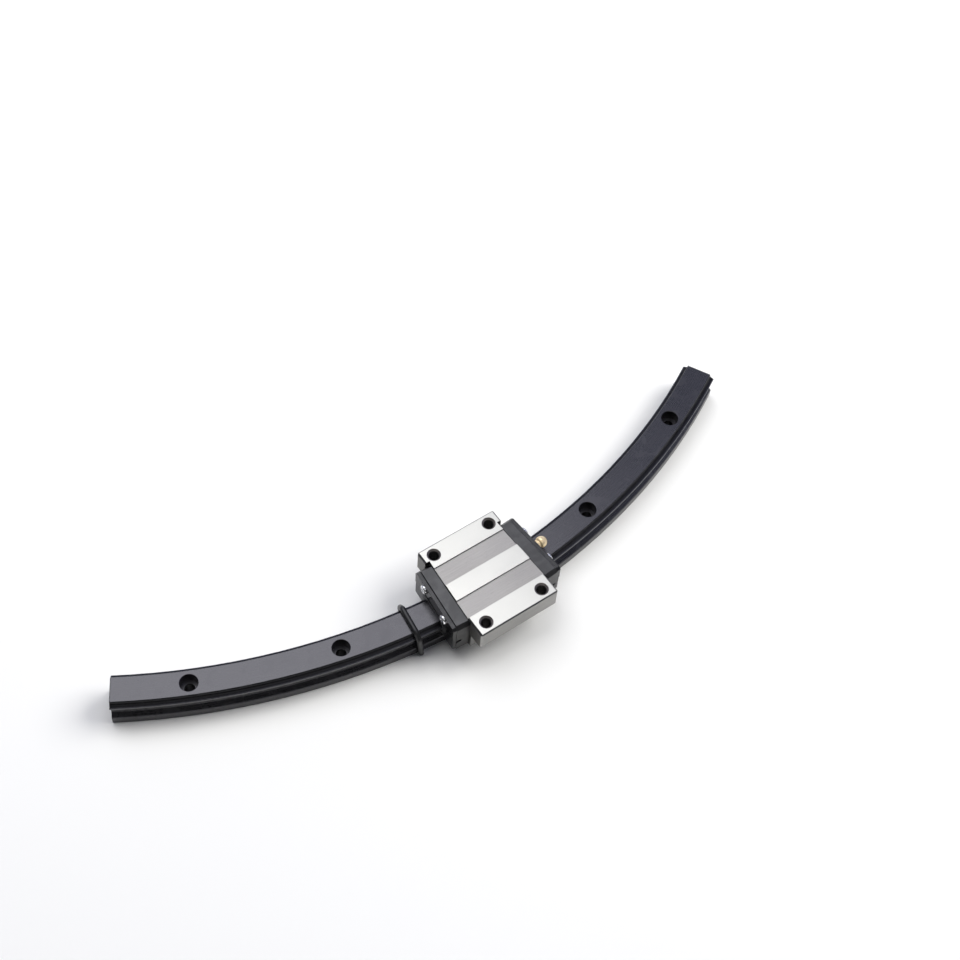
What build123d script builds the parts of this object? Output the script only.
from build123d import *
import os
from collections import namedtuple
from math import cos, degrees, hypot, pi, radians, sin, sqrt, tan

# Curved linear guide: a flanged ball carriage on a 60 degree arc rail.
# Frame: millimetres, +Z up, z = 0 on the rail's base plane. The origin is on the axis of
# the rail's middle hole, +X is tangent to the rail there and +Y points to the arc centre.
# Cross-sections use (radial, z): radial is the distance from the rail's centre line,
# positive away from the arc centre (the convex flank), negative toward it (concave).
# The carriage's left end faces -X and its right end +X. Angles are in degrees.

# ---------------------------------------------------------------- rail sizes
arc_radius = 300.0            # rail centre line
rail_angle = 60.0             # length of the rail as an angle
rail_height = 15.0
rail_half = 7.5               # half width over the rib and over the base
rail_waist_half = 5.53
rail_waist_low = 6.17         # the waist ends here and slopes out to the base
rail_base_top = 4.0
base_slope_run = 0.25         # the slope meets the base through a steeper bevel
base_slope_rise = 0.45
base_bevel = 0.4
race_edge_bevel = 0.14        # between the flat top and the upper race
hole_pitch = 12.0             # degrees between holes
hole_r = 2.25
counterbore_r = 3.75
counterbore_depth = 5.3
counterbore_bevel = 0.2
end_bevel = 0.4               # across the flat top at each end of the rail
end_bevel_half = 9.0          # half length of the bevel cut
end_bevel_overlap = 0.1       # the cutter stands out of the rail by this

# ---------------------------------------------------------------- races and balls
ball_d = 3.175
ball_pitch_min = 3.42         # closest spacing that still clears in the tight turns
ball_start = 0.35             # place of the first ball, in pitches
groove_r = 1.65
groove_radial = 7.105         # centre of the rail's race grooves
groove_upper_z = 14.495
groove_lower_z = 9.905
groove_mid_angle = 38.0       # a point on each rail groove, to draw its arc through
contact_shift = 0.035         # ball centre to groove centre, each axis
relief_radial = 6.6           # the race runs out into the rib here
rib_top = 12.6
rib_low = 11.8
ball_radial = groove_radial - contact_shift
ball_upper_z = groove_upper_z - contact_shift
ball_lower_z = groove_lower_z + contact_shift

return_upper = (11.6, 17.8)   # centres of the ball return holes at the end faces
return_lower = (12.6, 8.8)
return_r = 1.72
turn_tube_r = 1.7

# ---------------------------------------------------------------- carriage sizes
carriage_angle = 0.944        # where the carriage stands on the rail
end_face_angle = 3.5          # radial end face of the block, from the carriage's middle
end_plate_angle = 4.62        # outer face of the end plate
seal_low_angle = 4.89         # outer face of the seal's lower half
seal_angle = 4.95             # outer face of the seal's upper half

carriage_height = 24.0
flange_half = 23.5
flange_under = 13.7
block_half_length = 19.4
body_half = 16.7
body_bottom = 4.7
flange_top_bevel = 0.5
flange_under_bevel = 0.4
flange_corner_bevel = 0.6
flange_end_bevel = 0.75
pad_centre_half = 4.3         # three flat pads with sunk strips between them
pad_outer_inner = 13.5
strip_depth = 0.6
middle_half = 17.5            # half width of the radial cut at each end
end_cut_x = 25.0
end_cut_height = 30.0
channel_half_angle = 5.0      # the channel cut runs past the block at both ends
return_cut_half = 25.0
bolt_x = 28.0
bolt_y = 38.0
tap_drill_r = 2.1
tap_chamfer_r = 3.0

screw_places = ((-8.0, 20.3), (8.0, 20.3))
screw_tap_r = 1.03
screw_tap_depth = 12.6        # measured from the seal's outer face
screw_clearance_r = 1.15
nipple_z = 19.5               # height of the grease ports

arc_axis = Axis((0, arc_radius, 0), (0, 0, 1))
ends = ((-1, "left"), (1, "right"))
flanks = ((1, "convex"), (-1, "concave"))
os.makedirs("parts", exist_ok=True)


# ---------------------------------------------------------------- frames and outlines
def save(name, part):
    part.label = name
    export_step(part, f"parts/{name}.step")


def near(value, target):
    return abs(value - target) < 1e-6


def polar(angle, radial, z=0.0):
    """World point at an angle along the rail."""
    turn = radians(angle)
    radius = arc_radius + radial
    return Vector(radius * sin(turn), arc_radius - radius * cos(turn), z)


def radial_plane(angle):
    """Cross-section plane: local x is radial, local y is z, the normal is back along -X."""
    turn = radians(angle)
    return Plane(
        origin=tuple(polar(angle, 0)),
        x_dir=(sin(turn), -cos(turn), 0),
        z_dir=(-cos(turn), -sin(turn), 0),
    )


def end_plane(angle_out, side):
    """Cross-section plane at an angle from the carriage's middle, normal out of the
    carriage. Local x is radial at the left end (side -1) and -radial at the right (+1)."""
    angle = carriage_angle + side * angle_out
    if side < 0:
        return radial_plane(angle)
    turn = radians(angle)
    return Plane(
        origin=tuple(polar(angle, 0)),
        x_dir=(-sin(turn), cos(turn), 0),
        z_dir=(cos(turn), sin(turn), 0),
    )


def floor_plane(angle):
    """Base plane with local x along the rail at an angle and local y to the arc centre."""
    turn = radians(angle)
    return Plane(
        origin=tuple(polar(angle, 0)),
        x_dir=(cos(turn), sin(turn), 0),
        z_dir=(0, 0, 1),
    )


def draw_mirrored(points):
    """Half outline, from middle line to middle line, and its mirror. For a BuildLine."""
    Polyline(*points)
    mirror(about=Plane.YZ)


def draw_rail_outline(clearance=0.0):
    """The rail's outline grown by a clearance. For a BuildLine. With a clearance it
    is a cutter for the seal lip, which ends just below the seal."""
    radius = groove_r - clearance
    top_z = rail_height + clearance
    relief = relief_radial + clearance
    rib = rail_half + clearance
    waist_z = groove_upper_z + groove_lower_z - top_z
    relief_rise = sqrt(radius**2 - (relief - groove_radial) ** 2)
    mid_radial = groove_radial - radius * cos(radians(groove_mid_angle))
    mid_rise = radius * sin(radians(groove_mid_angle))

    def race_radial(z):
        return groove_radial - sqrt(radius**2 - (z - groove_upper_z) ** 2)

    top_radial = race_radial(top_z)
    if clearance:
        start = (top_radial, top_z)
        Line((0, top_z), start)
    else:
        bevel_z = rail_height - race_edge_bevel
        start = (race_radial(bevel_z), bevel_z)
        Polyline((0, rail_height), (top_radial - race_edge_bevel, rail_height), start)
    upper_relief = (relief, groove_upper_z - relief_rise)
    lower_relief = (relief, groove_lower_z + relief_rise)
    ThreePointArc(start, (mid_radial, groove_upper_z - mid_rise), upper_relief)
    Polyline(
        upper_relief,
        (rib, rib_top + clearance),
        (rib, rib_low - clearance),
        lower_relief,
    )
    waist = (top_radial, waist_z)
    ThreePointArc(lower_relief, (mid_radial, groove_lower_z + mid_rise), waist)
    if clearance:
        cutter_low = seal_bottom - 1.0
        Polyline(waist, (rail_waist_half + clearance, cutter_low), (0, cutter_low))
    else:
        Polyline(
            waist,
            (rail_waist_half, rail_waist_low),
            (rail_half - base_slope_run, rail_base_top + base_slope_rise),
            (rail_half, rail_base_top),
            (rail_half, base_bevel),
            (rail_half - base_bevel, 0),
            (0, 0),
        )
    mirror(about=Plane.YZ)


# ---------------------------------------------------------------- rail
def build_rail():
    with BuildPart() as rail:
        with BuildSketch(radial_plane(-rail_angle / 2)):
            with BuildLine():
                draw_rail_outline()
            make_face()
        revolve(axis=arc_axis, revolution_arc=rail_angle)
        with Locations(*[polar(i * hole_pitch, 0, rail_height) for i in range(-2, 3)]):
            CounterBoreHole(hole_r, counterbore_r, counterbore_depth, depth=rail_height)
        # the edge across the flat top is broken at each end
        for side in (-1, 1):
            end_angle = side * rail_angle / 2
            turn = radians(end_angle)
            end_top = Plane(
                origin=tuple(polar(end_angle, -end_bevel_half, rail_height)),
                x_dir=(side * cos(turn), side * sin(turn), 0),
                z_dir=(side * sin(turn), -side * cos(turn), 0),
            )
            with BuildSketch(end_top):
                with BuildLine():
                    Polyline(
                        (end_bevel_overlap, end_bevel_overlap),
                        (-end_bevel, end_bevel_overlap),
                        (end_bevel_overlap, -end_bevel),
                        (end_bevel_overlap, end_bevel_overlap),
                    )
                make_face()
            extrude(amount=2 * end_bevel_half * side, mode=Mode.SUBTRACT)
        mouths = rail.edges().filter_by(GeomType.CIRCLE).filter_by(
            lambda e: near(e.radius, counterbore_r) and near(e.center().Z, rail_height)
        )
        chamfer(mouths, counterbore_bevel)
    return rail.part


# ---------------------------------------------------------------- carriage block
# half section of the channel over the rail, with seats for the ball retainers: radial, z
channel_outline = [
    (0, 16.6), (5.95, 16.6), (5.95, 15.8), (6.7, 15.8), (8.3, 14.2),
    (8.3, 13.2), (9.0, 13.2), (9.0, 11.2), (8.3, 11.2), (8.3, 10.2),
    (6.7, 8.6), (6.5, 8.0), (8.35, 4.0), (0, 4.0),
]


def build_carriage_block():
    section = radial_plane(carriage_angle)
    floor = floor_plane(carriage_angle)
    channel_start = radial_plane(carriage_angle - channel_half_angle)
    along = Axis(tuple(floor.origin), tuple(floor.x_dir))
    with BuildPart() as block:
        # flanged section, straight along the carriage
        with BuildSketch(section):
            with BuildLine():
                Polyline(
                    (-flange_half, flange_under),
                    (-flange_half, carriage_height),
                    (flange_half, carriage_height),
                    (flange_half, flange_under),
                    (body_half, flange_under),
                    (body_half, body_bottom),
                    (-body_half, body_bottom),
                    (-body_half, flange_under),
                    (-flange_half, flange_under),
                )
            make_face()
        extrude(amount=block_half_length, both=True)
        # long edges of the flanges
        for level, bevel in (
            (carriage_height, flange_top_bevel),
            (flange_under, flange_under_bevel),
        ):
            long_edges = block.edges().filter_by(along).filter_by(
                lambda e: near(abs(floor.to_local_coords(e.center()).Y), flange_half)
                and near(e.center().Z, level)
            )
            chamfer(long_edges, bevel)
        # flange ends: vertical corners, then the top edge of each end
        corners = block.edges().filter_by(Axis.Z).filter_by(
            lambda e: abs(floor.to_local_coords(e.center()).Y) > flange_half - 1
        )
        chamfer(corners, flange_corner_bevel)
        end_tops = block.edges().filter_by(
            lambda e: near(abs(floor.to_local_coords(e.center()).X), block_half_length)
            and near(e.center().Z, carriage_height)
        )
        chamfer(end_tops, flange_end_bevel)
        # two sunk strips between the three pads
        strip_y = (pad_centre_half + pad_outer_inner) / 2
        with BuildSketch(floor.offset(carriage_height)):
            with Locations((0, strip_y), (0, -strip_y)):
                Rectangle(2 * block_half_length + 2, pad_outer_inner - pad_centre_half)
        extrude(amount=-strip_depth, mode=Mode.SUBTRACT)
        # the middle of each end is cut radially, to take the end plates
        convex_x = (arc_radius + middle_half) * tan(radians(end_face_angle))
        concave_x = (arc_radius - middle_half) * tan(radians(end_face_angle))
        with BuildSketch(floor):
            for side in (-1, 1):
                with BuildLine():
                    Polyline(
                        (side * convex_x, -middle_half),
                        (side * concave_x, middle_half),
                        (side * end_cut_x, middle_half),
                        (side * end_cut_x, -middle_half),
                        (side * convex_x, -middle_half),
                    )
                make_face()
        extrude(amount=end_cut_height, mode=Mode.SUBTRACT)
        with BuildSketch(channel_start):
            with BuildLine():
                draw_mirrored(channel_outline)
            make_face()
        revolve(axis=arc_axis, revolution_arc=2 * channel_half_angle, mode=Mode.SUBTRACT)
        # four race grooves that face the rail's
        race_centres = [
            (flank * (ball_radial - contact_shift), z)
            for z in (ball_upper_z - contact_shift, ball_lower_z + contact_shift)
            for flank in (1, -1)
        ]
        with BuildSketch(channel_start):
            with Locations(*race_centres):
                Circle(groove_r)
        revolve(axis=arc_axis, revolution_arc=2 * channel_half_angle, mode=Mode.SUBTRACT)
        # four ball return holes, straight from end to end
        return_centres = [
            ((arc_radius + flank * radial) * cos(radians(end_face_angle)) - arc_radius, z)
            for flank in (-1, 1)
            for radial, z in (return_upper, return_lower)
        ]
        with BuildSketch(section):
            with Locations(*return_centres):
                Circle(return_r)
        extrude(amount=return_cut_half, both=True, mode=Mode.SUBTRACT)
        # four tapped holes through the flanges
        with Locations(floor.offset(carriage_height)):
            with GridLocations(bolt_x, bolt_y, 2, 2):
                CounterSinkHole(
                    tap_drill_r,
                    tap_chamfer_r,
                    depth=carriage_height - flange_under,
                    counter_sink_angle=90,
                )
        # blind holes for the seal screws in each radial end face
        for side in (-1, 1):
            with BuildSketch(end_plane(seal_angle, side)):
                with Locations(*screw_places):
                    Circle(screw_tap_r)
            extrude(amount=-screw_tap_depth, mode=Mode.SUBTRACT)
    return block.part


# ---------------------------------------------------------------- ball turns
# load: (radial, z) of the loaded row on the block's end face; middle: the point halfway
# to the return hole; direction: unit vector from load to return; radius: half the distance
Turn = namedtuple("Turn", "load middle direction radius")


def ball_turn(flank, upper):
    load = (flank * ball_radial, ball_upper_z if upper else ball_lower_z)
    return_radial, return_z = return_upper if upper else return_lower
    run = flank * return_radial - load[0]
    rise = return_z - load[1]
    length = hypot(run, rise)
    middle = (load[0] + run / 2, load[1] + rise / 2)
    return Turn(load, middle, (run / length, rise / length), length / 2)


def turn_point(turn, along, across, side):
    """Local point on an end plane, along the turn's line from its middle and across it."""
    run, rise = turn.direction
    radial = turn.middle[0] + run * along - rise * across
    return (-side * radial, turn.middle[1] + rise * along + run * across)


def to_world(plane, point):
    return plane.from_local_coords(Vector(*point, 0))


def turn_axis(face, turn, side):
    """Axis of a ball turn: in the end face, square to the line of the turn."""
    origin = to_world(face, turn_point(turn, 0, 0, side))
    tip = to_world(face, turn_point(turn, 0, 1, side))
    return Axis(tuple(origin), tuple(tip - origin))


def spool_outline(turn, gap, side):
    """Half section of a turn's guide spool, smaller than its seat by a gap."""
    radius = spool_seat_r - gap
    half = spool_seat_half - gap
    corners = ((0, -half), (0, half), (-radius, half), (-radius, -half), (0, -half))
    return [turn_point(turn, along, across, side) for along, across in corners]


def web_outline(flank, gap, side):
    """Web between the two spools of a flank, narrower than its seat by a gap each side."""
    half = web_seat_half - gap
    top_radial, top_z = ball_turn(flank, True).middle
    low_radial, low_z = ball_turn(flank, False).middle
    return [
        (-side * (top_radial - half), top_z),
        (-side * (top_radial + half), top_z),
        (-side * (low_radial + half), low_z),
        (-side * (low_radial - half), low_z),
        (-side * (top_radial - half), top_z),
    ]


# ---------------------------------------------------------------- end plates
plate_top = 23.3
plate_half = 16.1
plate_top_bevel = 0.3
# half section of the end plate: radial, z
plate_outline = [
    (0, plate_top), (14.6, plate_top), (plate_half, 21.4), (plate_half, 6.3),
    (8.3, 6.3), (6.4, 8.2), (6.4, 9.3), (8.1, 11.2), (8.1, 13.3), (6.1, 15.7), (0, 15.7),
]
spool_seat_r = 1.6
spool_seat_half = 1.2
web_seat_half = 0.55
web_seat_depth = 0.8
guide_gap = 0.05              # between the turn guides and their seats
grease_channel_z = 18.4
grease_channel_width = 17.6
grease_channel_height = 1.0
grease_channel_depth = 0.9
port_r = 1.75
plate_cut = 12.0              # reach of the cuts that run out of the plate
side_slot_angle = 0.42        # slot in each side face, up to the plate's outer face
side_slot_z = 12.0
side_slot_width = 2.0         # half of it lies outside the plate
side_slot_height = 1.5


def build_end_plate(side):
    """Moulded end plate: turns the balls round and carries the seal."""
    face = end_plane(end_face_angle, side)
    seat = end_plane(seal_angle, side)
    with BuildPart() as end_plate:
        with BuildSketch(radial_plane(carriage_angle + side * end_face_angle)):
            with BuildLine():
                draw_mirrored(plate_outline)
            make_face()
        revolve(axis=arc_axis, revolution_arc=side * (end_plate_angle - end_face_angle))
        top_lines = end_plate.edges().filter_by(
            lambda e: near(e.center().Z, plate_top) and e.geom_type == GeomType.LINE
        )
        chamfer(top_lines, plate_top_bevel)
        for flank in (-1, 1):
            # a half ring channel for each circuit and a seat for its guide
            for upper in (True, False):
                turn = ball_turn(flank, upper)
                axis = turn_axis(face, turn, side)
                with BuildSketch(face):
                    with Locations(turn_point(turn, -turn.radius, 0, side)):
                        Circle(turn_tube_r)
                revolve(axis=axis, revolution_arc=-180 * side, mode=Mode.SUBTRACT)
                with BuildSketch(face):
                    with BuildLine():
                        Polyline(*spool_outline(turn, 0, side))
                    make_face()
                revolve(axis=axis, revolution_arc=-180 * side, mode=Mode.SUBTRACT)
            # seat for the web that joins the two guides of a flank
            with BuildSketch(face):
                with BuildLine():
                    Polyline(*web_outline(flank, 0, side))
                make_face()
            extrude(amount=web_seat_depth, mode=Mode.SUBTRACT)
        # grease channel across the face on the block, below the port's axis
        with BuildSketch(face):
            with Locations((0, grease_channel_z)):
                Rectangle(grease_channel_width, grease_channel_height)
        extrude(amount=grease_channel_depth, mode=Mode.SUBTRACT)
        # grease port through the plate
        with BuildSketch(seat):
            with Locations((0, nipple_z)):
                Circle(port_r)
        extrude(amount=plate_cut, both=True, mode=Mode.SUBTRACT)
        # clearance holes for the seal screws
        with BuildSketch(seat):
            with Locations(*screw_places):
                Circle(screw_clearance_r)
        extrude(amount=plate_cut, both=True, mode=Mode.SUBTRACT)
        # a slot in each side face, next to the seal
        with BuildSketch(end_plane(end_plate_angle - side_slot_angle, side)):
            with Locations((plate_half, side_slot_z), (-plate_half, side_slot_z)):
                Rectangle(side_slot_width, side_slot_height)
        extrude(amount=plate_cut, mode=Mode.SUBTRACT)
    return end_plate.part


# ---------------------------------------------------------------- turn guides
tube_clearance = 0.02         # the balls' path is cut this much wider in the guides


def build_turn_guides(side):
    """Inner guides of the ball turns: two half spools joined by a web on each flank."""
    face = end_plane(end_face_angle, side)
    with BuildPart() as turn_guides:
        for flank in (-1, 1):
            for upper in (True, False):
                turn = ball_turn(flank, upper)
                with BuildSketch(face):
                    with BuildLine():
                        Polyline(*spool_outline(turn, guide_gap, side))
                    make_face()
                revolve(axis=turn_axis(face, turn, side), revolution_arc=-180 * side)
            with BuildSketch(face):
                with BuildLine():
                    Polyline(*web_outline(flank, guide_gap, side))
                make_face()
            extrude(amount=web_seat_depth - guide_gap)
        for flank in (-1, 1):
            for upper in (True, False):
                turn = ball_turn(flank, upper)
                with BuildSketch(face):
                    with Locations(turn_point(turn, -turn.radius, 0, side)):
                        Circle(turn_tube_r + tube_clearance)
                revolve(
                    axis=turn_axis(face, turn, side),
                    revolution_arc=360,
                    mode=Mode.SUBTRACT,
                )
    return turn_guides.part


# ---------------------------------------------------------------- end seals
seal_bottom = 6.4
lip_clearance = 0.06          # between the lip and the rail
lip_edge_angle = 0.06         # the wiping edge stands out by this
lip_seat_gap = 0.02           # between the lip and the seal plate
lip_cut_low = 5.0
seal_cut = 5.0                # reach of the holes each way from the outer face
nipple_hole_r = 2.0

# half sections: radial, z
lip_outline = [
    (0, 17.4), (6.6, 17.4), (9.7, 14.3), (9.7, 10.5), (8.3, 9.0),
    (8.3, seal_bottom), (0, seal_bottom),
]
lip_edge_outline = [
    (0, 15.9), (6.1, 15.9), (8.4, 13.6), (8.4, 11.1), (6.6, 9.2),
    (6.6, seal_bottom), (0, seal_bottom),
]
seal_half = 15.9
seal_top_points = [(0, 22.9), (14.8, 22.9), (seal_half, 21.7)]
seal_outline = seal_top_points + [
    (seal_half, seal_bottom + 0.4), (seal_half - 0.4, seal_bottom), (0, seal_bottom),
]
seal_upper_outline = seal_top_points + [
    (seal_half, 15.4), (9.6, 15.4), (7.2, 17.42), (0, 17.42),
]
# the plate's opening for the lip runs on below the plate
lip_seat_outline = [
    (radial + lip_seat_gap if radial else 0, z) for radial, z in lip_outline[:-1]
]
lip_seat_outline += [(lip_seat_outline[-1][0], lip_cut_low), (0, lip_cut_low)]


def build_seal_lip(side):
    """Rubber lip of the end seal: follows the rail with a hair of clearance."""
    low_arc = side * (seal_low_angle - end_plate_angle)
    with BuildPart() as seal_lip:
        for outline, angle, arc in (
            (lip_outline, end_plate_angle, low_arc),
            (lip_edge_outline, seal_low_angle, side * lip_edge_angle),
        ):
            with BuildSketch(radial_plane(carriage_angle + side * angle)):
                with BuildLine():
                    draw_mirrored(outline)
                make_face()
                with BuildLine():
                    draw_rail_outline(lip_clearance)
                make_face(mode=Mode.SUBTRACT)
            revolve(axis=arc_axis, revolution_arc=arc)
    return seal_lip.part


def build_seal_plate(side):
    """Stiff plate of the end seal, thicker above the rail's top than below it."""
    seat = end_plane(seal_angle, side)
    with BuildPart() as seal_plate:
        with BuildSketch(radial_plane(carriage_angle + side * end_plate_angle)):
            with BuildLine():
                draw_mirrored(seal_outline)
            make_face()
            with BuildLine():
                draw_mirrored(lip_seat_outline)
            make_face(mode=Mode.SUBTRACT)
        revolve(axis=arc_axis, revolution_arc=side * (seal_low_angle - end_plate_angle))
        with BuildSketch(radial_plane(carriage_angle + side * seal_low_angle)):
            with BuildLine():
                draw_mirrored(seal_upper_outline)
            make_face()
        revolve(axis=arc_axis, revolution_arc=side * (seal_angle - seal_low_angle))
        with BuildSketch(seat):
            with Locations(*screw_places):
                Circle(screw_clearance_r)
        extrude(amount=seal_cut, both=True, mode=Mode.SUBTRACT)
        # only the right end carries the nipple
        if side > 0:
            with BuildSketch(seat):
                with Locations((0, nipple_z)):
                    Circle(nipple_hole_r)
            extrude(amount=seal_cut, both=True, mode=Mode.SUBTRACT)
    return seal_plate.part


# ---------------------------------------------------------------- seal screws
screw_head_r = 2.1
screw_head_height = 1.1
screw_head_round = 0.72
screw_head_gap = 0.03         # under the head
screw_shank_r = 1.0
screw_length = 12.0
recess_span = 2.3
recess_width = 0.5
recess_angle = 20.0
recess_lift = 0.1             # the recess cut starts this far above the nominal head
recess_depth = 0.85           # from there
recess_taper = 12.0


def build_seal_screws(side):
    """Cross recess pan head screws through seal and end plate into the block."""
    seat = end_plane(seal_angle, side)
    outward = Axis(tuple(seat.origin), tuple(seat.z_dir))
    with BuildPart() as screws:
        with BuildSketch(seat.offset(screw_head_gap)):
            with Locations(*screw_places):
                Circle(screw_head_r)
        extrude(amount=screw_head_height)
        fillet(
            screws.faces().filter_by(GeomType.PLANE).group_by(outward)[-1].edges(),
            screw_head_round,
        )
        with BuildSketch(seat.offset(screw_head_height + recess_lift)):
            with Locations(*screw_places):
                Rectangle(recess_span, recess_width, rotation=recess_angle)
                Rectangle(recess_width, recess_span, rotation=recess_angle)
        extrude(amount=-recess_depth, taper=recess_taper, mode=Mode.SUBTRACT)
        with BuildSketch(seat.offset(screw_head_gap)):
            with Locations(*screw_places):
                Circle(screw_shank_r)
        extrude(amount=-screw_length)
    return screws.part


# ---------------------------------------------------------------- ball retainers
# radial, z: half section of the top one, full section of the convex side one
retainer_top_outline = [(0, 15.5), (5.55, 15.5), (5.8, 15.75), (5.85, 16.5), (0, 16.5)]
retainer_side_outline = [
    (7.95, 11.6), (7.95, 12.8), (8.25, 13.1), (8.95, 13.1),
    (8.95, 11.3), (8.25, 11.3), (7.95, 11.6),
]


def build_retainer_top():
    with BuildPart() as retainer:
        with BuildSketch(radial_plane(carriage_angle - end_face_angle)):
            with BuildLine():
                draw_mirrored(retainer_top_outline)
            make_face()
        revolve(axis=arc_axis, revolution_arc=2 * end_face_angle)
    return retainer.part


def build_retainer_side(flank):
    with BuildPart() as retainer:
        with BuildSketch(radial_plane(carriage_angle - end_face_angle)):
            with BuildLine():
                Polyline(*[(flank * radial, z) for radial, z in retainer_side_outline])
            make_face()
        revolve(axis=arc_axis, revolution_arc=2 * end_face_angle)
    return retainer.part


# ---------------------------------------------------------------- ball circuits
def circuit_points(flank, upper):
    """Ball centres spaced evenly round one closed circuit: along the loaded row to the
    right, round the right turn, back through the return hole, round the left turn."""
    turn = ball_turn(flank, upper)
    faces = {side: end_plane(end_face_angle, side) for side in (-1, 1)}
    return_ends = {
        side: to_world(faces[side], turn_point(turn, turn.radius, 0, side))
        for side in (-1, 1)
    }

    def point_in_turn(swept, side):
        """Centre in a turn, at an angle swept from the loaded row."""
        base = turn_point(turn, -turn.radius * cos(swept), 0, side)
        return to_world(faces[side], base) + faces[side].z_dir * (turn.radius * sin(swept))

    load_radius = arc_radius + turn.load[0]
    load_length = load_radius * radians(2 * end_face_angle)
    return_path = return_ends[-1] - return_ends[1]
    turn_length = pi * turn.radius
    return_start = load_length + turn_length
    return_end = return_start + return_path.length
    total = return_end + turn_length
    count = int(total / ball_pitch_min)
    points = []
    for i in range(count):
        distance = (i + ball_start) * total / count
        if distance < load_length:
            angle = carriage_angle - end_face_angle + degrees(distance / load_radius)
            points.append(polar(angle, *turn.load))
        elif distance < return_start:
            points.append(point_in_turn((distance - load_length) / turn.radius, 1))
        elif distance < return_end:
            fraction = (distance - return_start) / return_path.length
            points.append(return_ends[1] + return_path * fraction)
        else:
            points.append(point_in_turn(pi - (distance - return_end) / turn.radius, -1))
    return points


def build_balls(flank, upper):
    with BuildPart() as balls:
        with Locations(*[tuple(point) for point in circuit_points(flank, upper)]):
            Sphere(ball_d / 2)
    return balls.part


# ---------------------------------------------------------------- grease nipple
nipple_seat = end_plane(seal_angle, 1)
# local x runs out of the carriage along the nipple, local y is up
nipple_plane = Plane(
    origin=tuple(to_world(nipple_seat, (0, nipple_z))),
    x_dir=tuple(nipple_seat.z_dir),
    z_dir=tuple(nipple_seat.z_dir.cross(Vector(0, 0, 1))),
)
bore_r = 0.85
mouth_r = 0.56
# half sections, x along the nipple from the seal's outer face, then radius
nipple_outside = [
    (-6.9, bore_r), (-6.9, 1.45), (-6.6, 1.7), (-1.65, 1.7), (-1.65, 1.95),
    (0.25, 1.95), (0.55, 2.25), (0.95, 2.25), (1.15, 1.9), (1.75, 1.9),
    (2.15, 2.35), (2.55, 2.55), (3.35, 2.55),
]
nipple_nose = [(3.35, 2.55), (4.75, 2.0), (5.55, 0.95)]
nipple_inside = [
    (5.55, 0.95), (5.55, mouth_r), (4.95, mouth_r), (4.62, bore_r), (-6.9, bore_r),
]
check_ball_x = 4.16
check_ball_r = 0.75
spring_start = -1.2
spring_ball_gap = 0.16        # coil centre line to the check ball
spring_pitch = 0.72
spring_r = 0.6
spring_wire_r = 0.11


def build_nipple_body():
    with BuildPart() as body:
        with BuildSketch(nipple_plane):
            with BuildLine():
                Polyline(*nipple_outside)
                ThreePointArc(*nipple_nose)
                Polyline(*nipple_inside)
            make_face()
        revolve(axis=Axis(tuple(nipple_plane.origin), tuple(nipple_seat.z_dir)))
    return body.part


def build_check_ball():
    with BuildPart() as check_ball:
        with Locations(tuple(to_world(nipple_plane, (check_ball_x, 0)))):
            Sphere(check_ball_r)
    return check_ball.part


def build_nipple_spring():
    with BuildPart() as spring:
        with BuildLine() as coil:
            Helix(
                pitch=spring_pitch,
                height=check_ball_x - check_ball_r - spring_start - spring_ball_gap,
                radius=spring_r,
                center=tuple(to_world(nipple_plane, (spring_start, 0))),
                direction=tuple(nipple_seat.z_dir),
            )
        with BuildSketch(Plane(origin=coil.line @ 0, z_dir=coil.line % 0)):
            Circle(spring_wire_r)
        sweep(is_frenet=True)
    return spring.part


# ---------------------------------------------------------------- port plug
plug_r = 1.7
plug_inset = 2.4              # from the seal's outer face
plug_length = 3.6
plug_socket_r = 0.85          # to the corners of the hexagon
plug_socket_depth = 1.6


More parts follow.
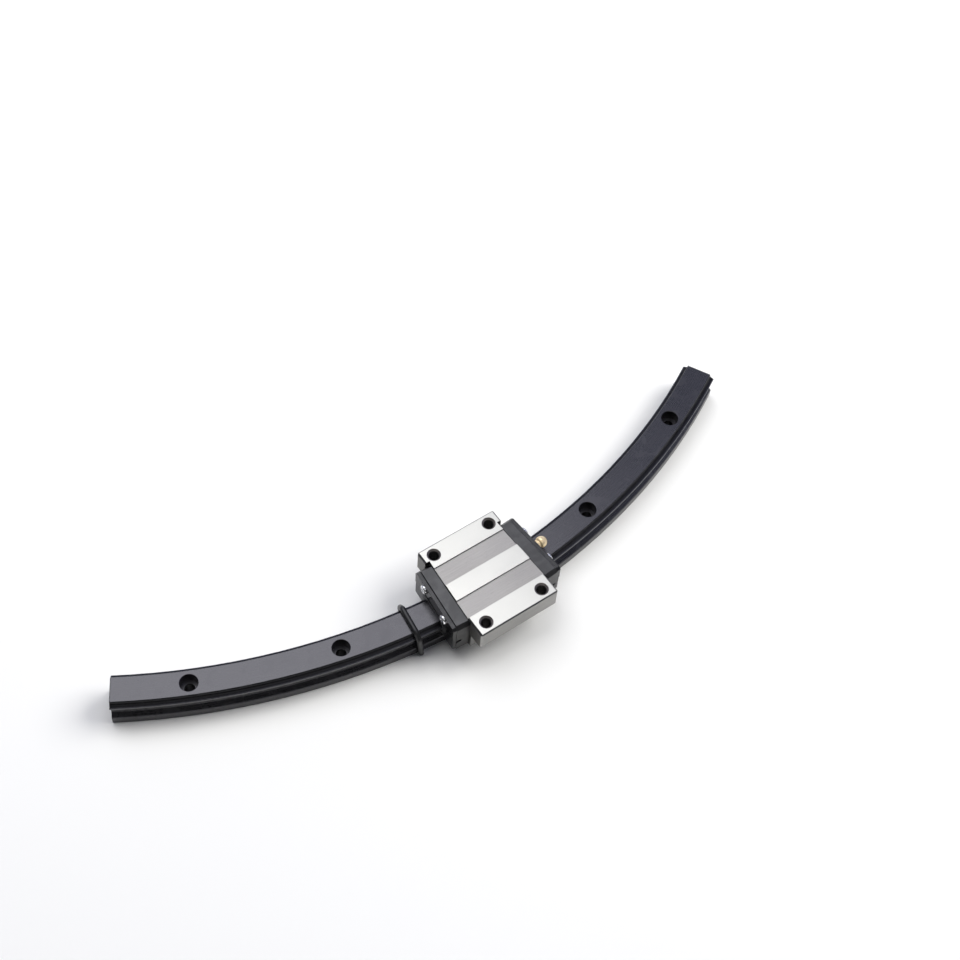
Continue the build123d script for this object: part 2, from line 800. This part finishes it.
def build_port_plug():
    """Plug in the left end's grease port."""
    plug_plane = end_plane(seal_angle, -1).offset(-plug_inset)
    with BuildPart() as plug:
        with BuildSketch(plug_plane):
            with Locations((0, nipple_z)):
                Circle(plug_r)
        extrude(amount=-plug_length)
        with BuildSketch(plug_plane):
            with Locations((0, nipple_z)):
                RegularPolygon(plug_socket_r, 6)
        extrude(amount=-plug_socket_depth, mode=Mode.SUBTRACT)
    return plug.part


# ---------------------------------------------------------------- transit ring
ring_angle = -6.85            # at the base plane, from the carriage's middle
ring_lean = -5.5              # its top leans away from the carriage
ring_r = 1.2
ring_bend = 1.6
# centre line over the rail: radial, then height along the lean
ring_points = [
    (8.78, 1.4), (8.78, 13.1), (6.1, 16.32),
    (-6.1, 16.32), (-8.78, 13.1), (-8.78, 1.4),
]


def build_transit_ring():
    """Round-section rubber band over the rail, with round ends just above the base plane."""
    base = floor_plane(carriage_angle + ring_angle)
    up = base.z_dir * cos(radians(ring_lean)) + base.x_dir * sin(radians(ring_lean))
    out = base.y_dir * -1
    ring_plane = Plane(
        origin=tuple(base.origin),
        x_dir=tuple(out),
        z_dir=tuple(out.cross(up)),
    )
    with BuildPart() as ring:
        with BuildLine(ring_plane) as path:
            ring_line = Polyline(*ring_points)
            fillet(ring_line.vertices().sort_by(ring_line)[1:-1], ring_bend)
        with BuildSketch(Plane(origin=path.line @ 0, z_dir=path.line % 0)):
            Circle(ring_r)
        sweep()
        with Locations(tuple(path.line @ 0), tuple(path.line @ 1)):
            Sphere(ring_r)
    return ring.part


# ---------------------------------------------------------------- all pieces
save("rail", build_rail())
save("carriage_block", build_carriage_block())
for side, end in ends:
    save(f"end_plate_{end}", build_end_plate(side))
    save(f"turn_guides_{end}", build_turn_guides(side))
    save(f"seal_lip_{end}", build_seal_lip(side))
    save(f"seal_plate_{end}", build_seal_plate(side))
    save(f"seal_screws_{end}", build_seal_screws(side))
save("retainer_top", build_retainer_top())
for flank, lane in flanks:
    save(f"retainer_side_{lane}", build_retainer_side(flank))
    save(f"balls_upper_{lane}", build_balls(flank, True))
    save(f"balls_lower_{lane}", build_balls(flank, False))
save("nipple_body", build_nipple_body())
save("nipple_check_ball", build_check_ball())
save("nipple_spring", build_nipple_spring())
save("port_plug", build_port_plug())
save("transit_ring", build_transit_ring())
